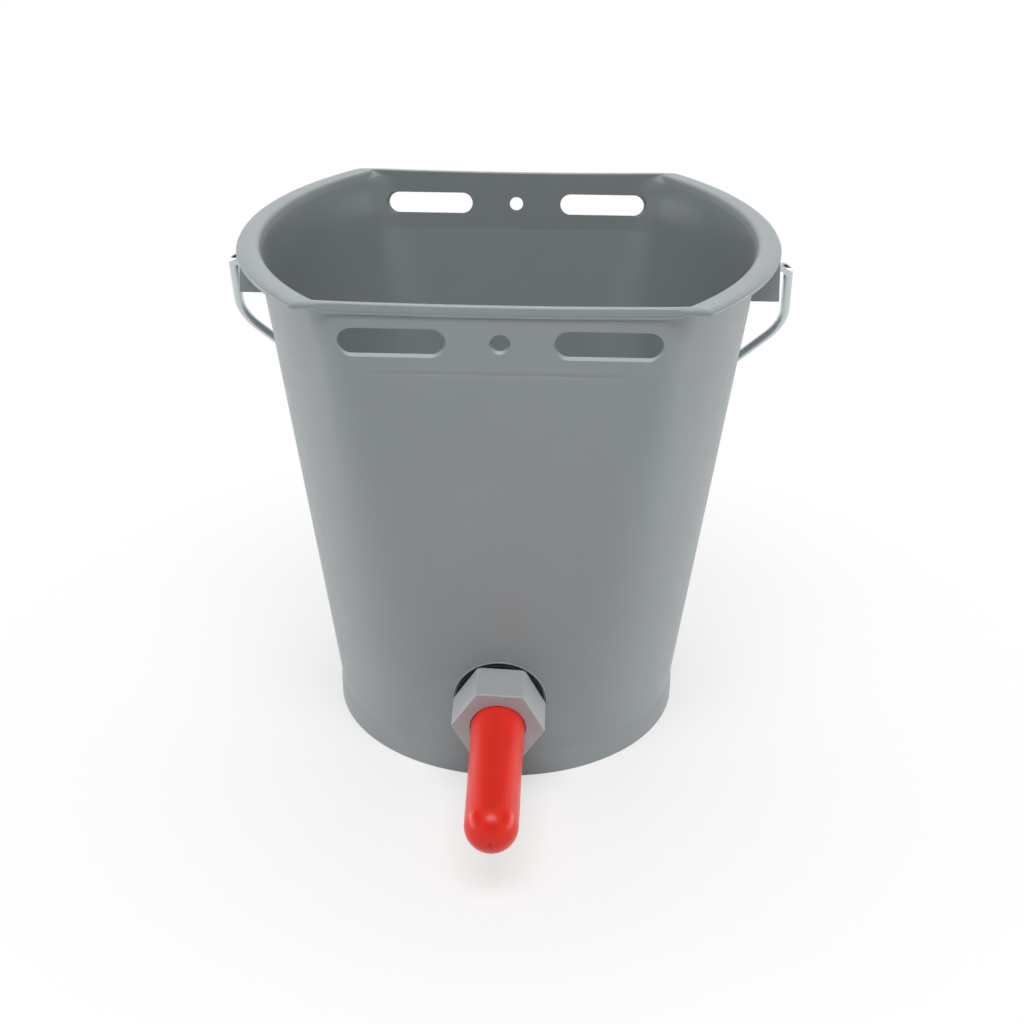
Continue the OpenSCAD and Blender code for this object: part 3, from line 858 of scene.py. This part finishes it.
class FEEDER_OT_nut(bpy.types.Operator):
    """Models the six-sided nut that holds the teat on the spigot"""
    bl_idname = "feeder.nut"
    bl_label = "Teat nut"

    def execute(self, context):
        m, v = settings("feeder_moulding"), settings("feeder_valve")
        place, axis, up = valve_frame(m, v)
        near, play, hole_edge = 0.1 * MM, 0.2 * MM, 0.5 * MM
        corner = v.nut_af / 2 / math.cos(math.pi / 6)
        back = -v.seat_depth + v.seal_t
        front = back + v.nut_len
        hole = v.teat_root + play

        def ahead(e):
            return sharp(e, least=40) and (e.verts[0].co.z + e.verts[1].co.z) / 2 > back + near

        def mouth(e):
            return sharp(e, least=50) and all(
                abs(w.co.z - front) < near and w.co.xy.length < hole + near for w in e.verts)

        piece = start(bpy.ops.mesh.primitive_cylinder_add, vertices=6, radius=corner,
                      depth=v.nut_len, location=(0, 0, back + v.nut_len / 2),
                      rotation=(0, 0, math.pi / 2))
        soften(settle(piece), ahead, v.nut_edge)
        # A cone takes the corners off its back
        tall, narrow = v.nut_len + OVERRUN, corner - v.nut_chamfer
        cone = start(bpy.ops.mesh.primitive_cone_add, vertices=96, radius1=narrow,
                     radius2=narrow + tall, depth=tall, location=(0, 0, back + tall / 2))
        combine(piece, settle(cone), "INTERSECT")
        thread = rod((0, 0, back - OVERRUN), (0, 0, front - v.nut_face), v.spigot_r + v.spigot_gap)
        combine(piece, thread, "DIFFERENCE")
        combine(piece, rod((0, 0, back), (0, 0, front + OVERRUN), hole), "DIFFERENCE")
        soften(piece, mouth, hole_edge)
        turn = Matrix((up.cross(axis), up, axis)).transposed().to_4x4()
        piece.matrix_world = Matrix.Translation(place) @ turn @ Matrix.Rotation(-v.nut_turn, 4, "Z")
        close(settle(piece))
        colour = settings("feeder_finish").nut
        paint = finish("nut_grey", colour, rough=0.40, grain=0.02, spread=0.03, uneven=0.4)
        hand_over(piece, "hex_nut", "bucket", "teat_nut", paint)
        return {"FINISHED"}


class FEEDER_OT_seals(bpy.types.Operator):
    """Spins the black rubber rings on both sides of the wall"""
    bl_idname = "feeder.seals"
    bl_label = "Rubber rings"

    def execute(self, context):
        m, v = settings("feeder_moulding"), settings("feeder_valve")
        place, axis, up = valve_frame(m, v)
        colour = settings("feeder_finish").rubber
        paint = finish("black_rubber", colour, rough=0.62, grain=0.12, spread=0.25, specular=0.2,
                       mottle_scale=90)
        r, steps, bore = 0.7 * MM, 4, v.spigot_r + v.spigot_gap
        pad = -m.wall - v.pad_rise
        for name, low, high, outer, node in (
                ("outer_seal", -v.seat_depth, v.seal_t - v.seat_depth, v.seal_r, "seal_ring"),
                ("inner_seal", pad - v.gasket_t, pad, v.flange_r, "inner_gasket")):
            profile = []
            for s, at, begin in ((high - r, outer - r, 0), (high - r, bore + r, 90),
                                 (low + r, bore + r, 180), (low + r, outer - r, 270)):
                for k in range(steps + 1):
                    a = math.radians(begin + 90 * k / steps)
                    along, out = s + r * math.sin(a), at + r * math.cos(a)
                    profile.append(place + axis * along + up * out)
            piece = turn_round(name, profile, place, axis, steps=72)
            hand_over(piece, name, "bucket", node, paint, smooth=40)
        return {"FINISHED"}


class FEEDER_OT_valve(bpy.types.Operator):
    """Finishes the valve body, the ball and its retainer inside the nut"""
    bl_idname = "feeder.valve"
    bl_label = "Ball valve"

    def execute(self, context):
        f = settings("feeder_finish")
        paints = {
            "valve_body": finish("valve_grey", f.valve, rough=0.45, grain=0.06, spread=0.04),
            "ball_retainer": finish("cage_white", f.cage, rough=0.40, grain=0.05, spread=0.03),
            "valve_ball": finish("ball_white", f.ball, rough=0.25, grain=0.02, spread=0.02,
                                 coat=0.3),
        }
        for node, paint in paints.items():
            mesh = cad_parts[node].data
            mesh.materials.clear()
            mesh.materials.append(paint)
        return {"FINISHED"}


# Panels of light: place, width and height in metres, power in watts
LIGHTS = (
    ("top_light", (0.0, -0.75, 1.5), 1.0, 0.6, 16.3),
    ("back_light", (0.0, 0.75, 1.35), 1.2, 0.9, 9.9),
    ("left_light", (-1.1, 0.1, 0.14), 1.2, 0.26, 5.0),
    ("right_light", (1.1, 0.1, 0.14), 1.2, 0.26, 5.1),
)
# Dark sheets that the wire mirrors: place, width and height in metres
FLAGS = (
    ("front_flag", (0.0, -1.5, 1.15), 1.5, 1.5),
    ("left_flag", (-1.5, 0.0, 0.95), 1.8, 1.1),
    ("right_flag", (1.5, 0.0, 0.95), 1.8, 1.1),
)
# The point on the bucket's axis that lights and sheets face, and the floor's width, in metres
FACED, FLOOR_WIDTH = Vector((0, 0, 0.13)), 12
# How far the floor's tint varies
FLOOR_SPREAD = 0.005


class FEEDER_OT_stage(bpy.types.Operator):
    """Sets the pale floor, the soft lights and the camera"""
    bl_idname = "feeder.stage"
    bl_label = "Floor, light and camera"

    def execute(self, context):
        s = settings("feeder_stage")
        self.add_floor(s)
        self.add_sky(s)
        for name, place, wide, tall, power in LIGHTS:
            self.add_light(name, Vector(place), wide, tall, power)
        for name, place, wide, tall in FLAGS:
            self.add_flag(name, Vector(place), wide, tall)
        self.add_camera(s)
        context.scene.view_settings.view_transform = "Standard"
        return {"FINISHED"}

    def add_floor(self, s):
        """A pale floor that keeps the bucket's shadow and fades to plain white away from it."""
        floor = start(bpy.ops.mesh.primitive_plane_add, size=FLOOR_WIDTH)
        floor.name = "floor"
        made, tree, shader = blank("pale_floor")
        sheet = next(n for n in tree.nodes if n.type == "OUTPUT_MATERIAL")
        paint = Shade(tree)
        cloud = paint.noise(3, 2).between(0.3, 0.7)
        base = cloud.mix(shade_of(s.floor, 1 - FLOOR_SPREAD), shade_of(s.floor, 1 + FLOOR_SPREAD))
        tree.links.new(base.socket, shader.inputs["Base Color"])
        shader.inputs["Roughness"].default_value = 0.8
        # White away from the bucket, for the eye and for reflections alone
        place = paint.node("TexCoord", {}, {}, "Object")
        away = paint.node("VectorMath", {"operation": "LENGTH"}, {0: place}, "Value")
        plain = paint.node("Emission", {}, {"Color": (1, 1, 1, 1), "Strength": 1.0})
        share = self.seen(paint) * (away.between(s.clear, s.white) * s.shade + (1 - s.shade))
        blend = tree.nodes.new("ShaderNodeMixShader")
        tree.links.new(share.socket, blend.inputs[0])
        tree.links.new(shader.outputs[0], blend.inputs[1])
        tree.links.new(plain.socket, blend.inputs[2])
        tree.links.new(blend.outputs[0], sheet.inputs["Surface"])
        floor.data.materials.append(made)

    def seen(self, paint):
        """1 for what the eye sees, straight, mirrored or through something, 0 for other light."""
        eye, mirrored, through = (paint.node("LightPath", {}, {}, f"Is {kind} Ray")
                                  for kind in ("Camera", "Glossy", "Transmission"))
        return (eye + mirrored + through).between(0, 1)

    def add_flag(self, name, place, wide, tall):
        """A dark sheet out of the camera's sight, which the wire mirrors."""
        flag = start(bpy.ops.mesh.primitive_plane_add, size=1)
        flag.name = name
        flag.scale = (wide, tall, 1)
        flag.rotation_euler = self.facing(place)
        flag.location = place
        made, _, shader = blank("dark_sheet")
        shader.inputs["Base Color"].default_value = (0.02, 0.025, 0.03, 1)
        shader.inputs["Roughness"].default_value = 0.9
        flag.data.materials.append(made)
        flag.visible_camera = False

    def facing(self, place):
        """Turn that faces the bucket from a place."""
        return (place - FACED).to_track_quat("Z", "Y").to_euler()

    def add_sky(self, s):
        """Even light all round, white to the eye."""
        world = bpy.data.worlds.new("soft_sky")
        bpy.context.scene.world = world
        world.use_nodes = True
        tree = world.node_tree
        back = next(n for n in tree.nodes if n.type == "BACKGROUND")
        back.inputs["Color"].default_value = (1, 1, 1, 1)
        shown = self.seen(Shade(tree))
        strength = shown * (1 - s.fill) + s.fill
        tree.links.new(strength.socket, back.inputs["Strength"])

    def add_light(self, name, place, wide, tall, power):
        """An oblong panel of soft light that faces the bucket."""
        lamp = start(bpy.ops.object.light_add, type="AREA", location=place)
        lamp.name = name
        lamp.data.shape = "RECTANGLE"
        lamp.data.size, lamp.data.size_y = wide, tall
        lamp.data.energy = power
        lamp.rotation_euler = self.facing(place)
        lamp.visible_camera = False

    def add_camera(self, s):
        """The camera that took the photograph, as fitted to the bucket's outlines."""
        level_share = math.cos(s.elevation)
        back = Vector((math.sin(s.azimuth) * level_share, -math.cos(s.azimuth) * level_share,
                       math.sin(s.elevation)))
        aim = Vector((s.aim_x, 0, s.aim_z))
        right = (-back).cross(Vector((0, 0, 1))).normalized()
        up = right.cross(-back)
        turned = right * math.cos(s.roll) + up * math.sin(s.roll)
        lifted = up * math.cos(s.roll) - right * math.sin(s.roll)
        data = bpy.data.cameras.new("camera")
        data.sensor_width, data.lens, data.shift_x = 36, s.lens, s.shift_x
        data.clip_start, data.clip_end = 0.05, 50
        camera = bpy.data.objects.new("camera", data)
        bpy.context.scene.collection.objects.link(camera)
        turn = Matrix((turned, lifted, back)).transposed().to_4x4()
        camera.matrix_world = Matrix.Translation(aim + back * s.distance) @ turn
        bpy.context.scene.camera = camera


PIECES = (FEEDER_OT_moulding, FEEDER_OT_bail, FEEDER_OT_seals, FEEDER_OT_valve,
          FEEDER_OT_nut, FEEDER_OT_teat, FEEDER_OT_stage)


class FEEDER_PT_panel(bpy.types.Panel):
    """Lists the pieces and their settings"""
    bl_label = "Feeder bucket"
    bl_idname = "FEEDER_PT_panel"
    bl_space_type = "VIEW_3D"
    bl_region_type = "UI"
    bl_category = "Feeder bucket"

    def draw(self, context):
        for piece in PIECES:
            self.layout.operator(piece.bl_idname)
        for name, group in GROUPS.items():
            box = self.layout.box()
            box.label(text=name.removeprefix("feeder_").title())
            for prop in group.__annotations__:
                box.prop(getattr(context.scene, name), prop)


CLASSES = (*GROUPS.values(), *PIECES, FEEDER_PT_panel)


def register():
    for each in CLASSES:
        bpy.utils.register_class(each)
    for name, group in GROUPS.items():
        setattr(bpy.types.Scene, name, bpy.props.PointerProperty(type=group))


def unregister():
    for name in GROUPS:
        delattr(bpy.types.Scene, name)
    for each in reversed(CLASSES):
        bpy.utils.unregister_class(each)


def main():
    register()
    bpy.ops.feeder.moulding()
    bpy.ops.feeder.bail()
    bpy.ops.feeder.seals()
    bpy.ops.feeder.valve()
    bpy.ops.feeder.nut()
    bpy.ops.feeder.teat()
    bpy.ops.feeder.stage()


if __name__ == "__main__":
    main()
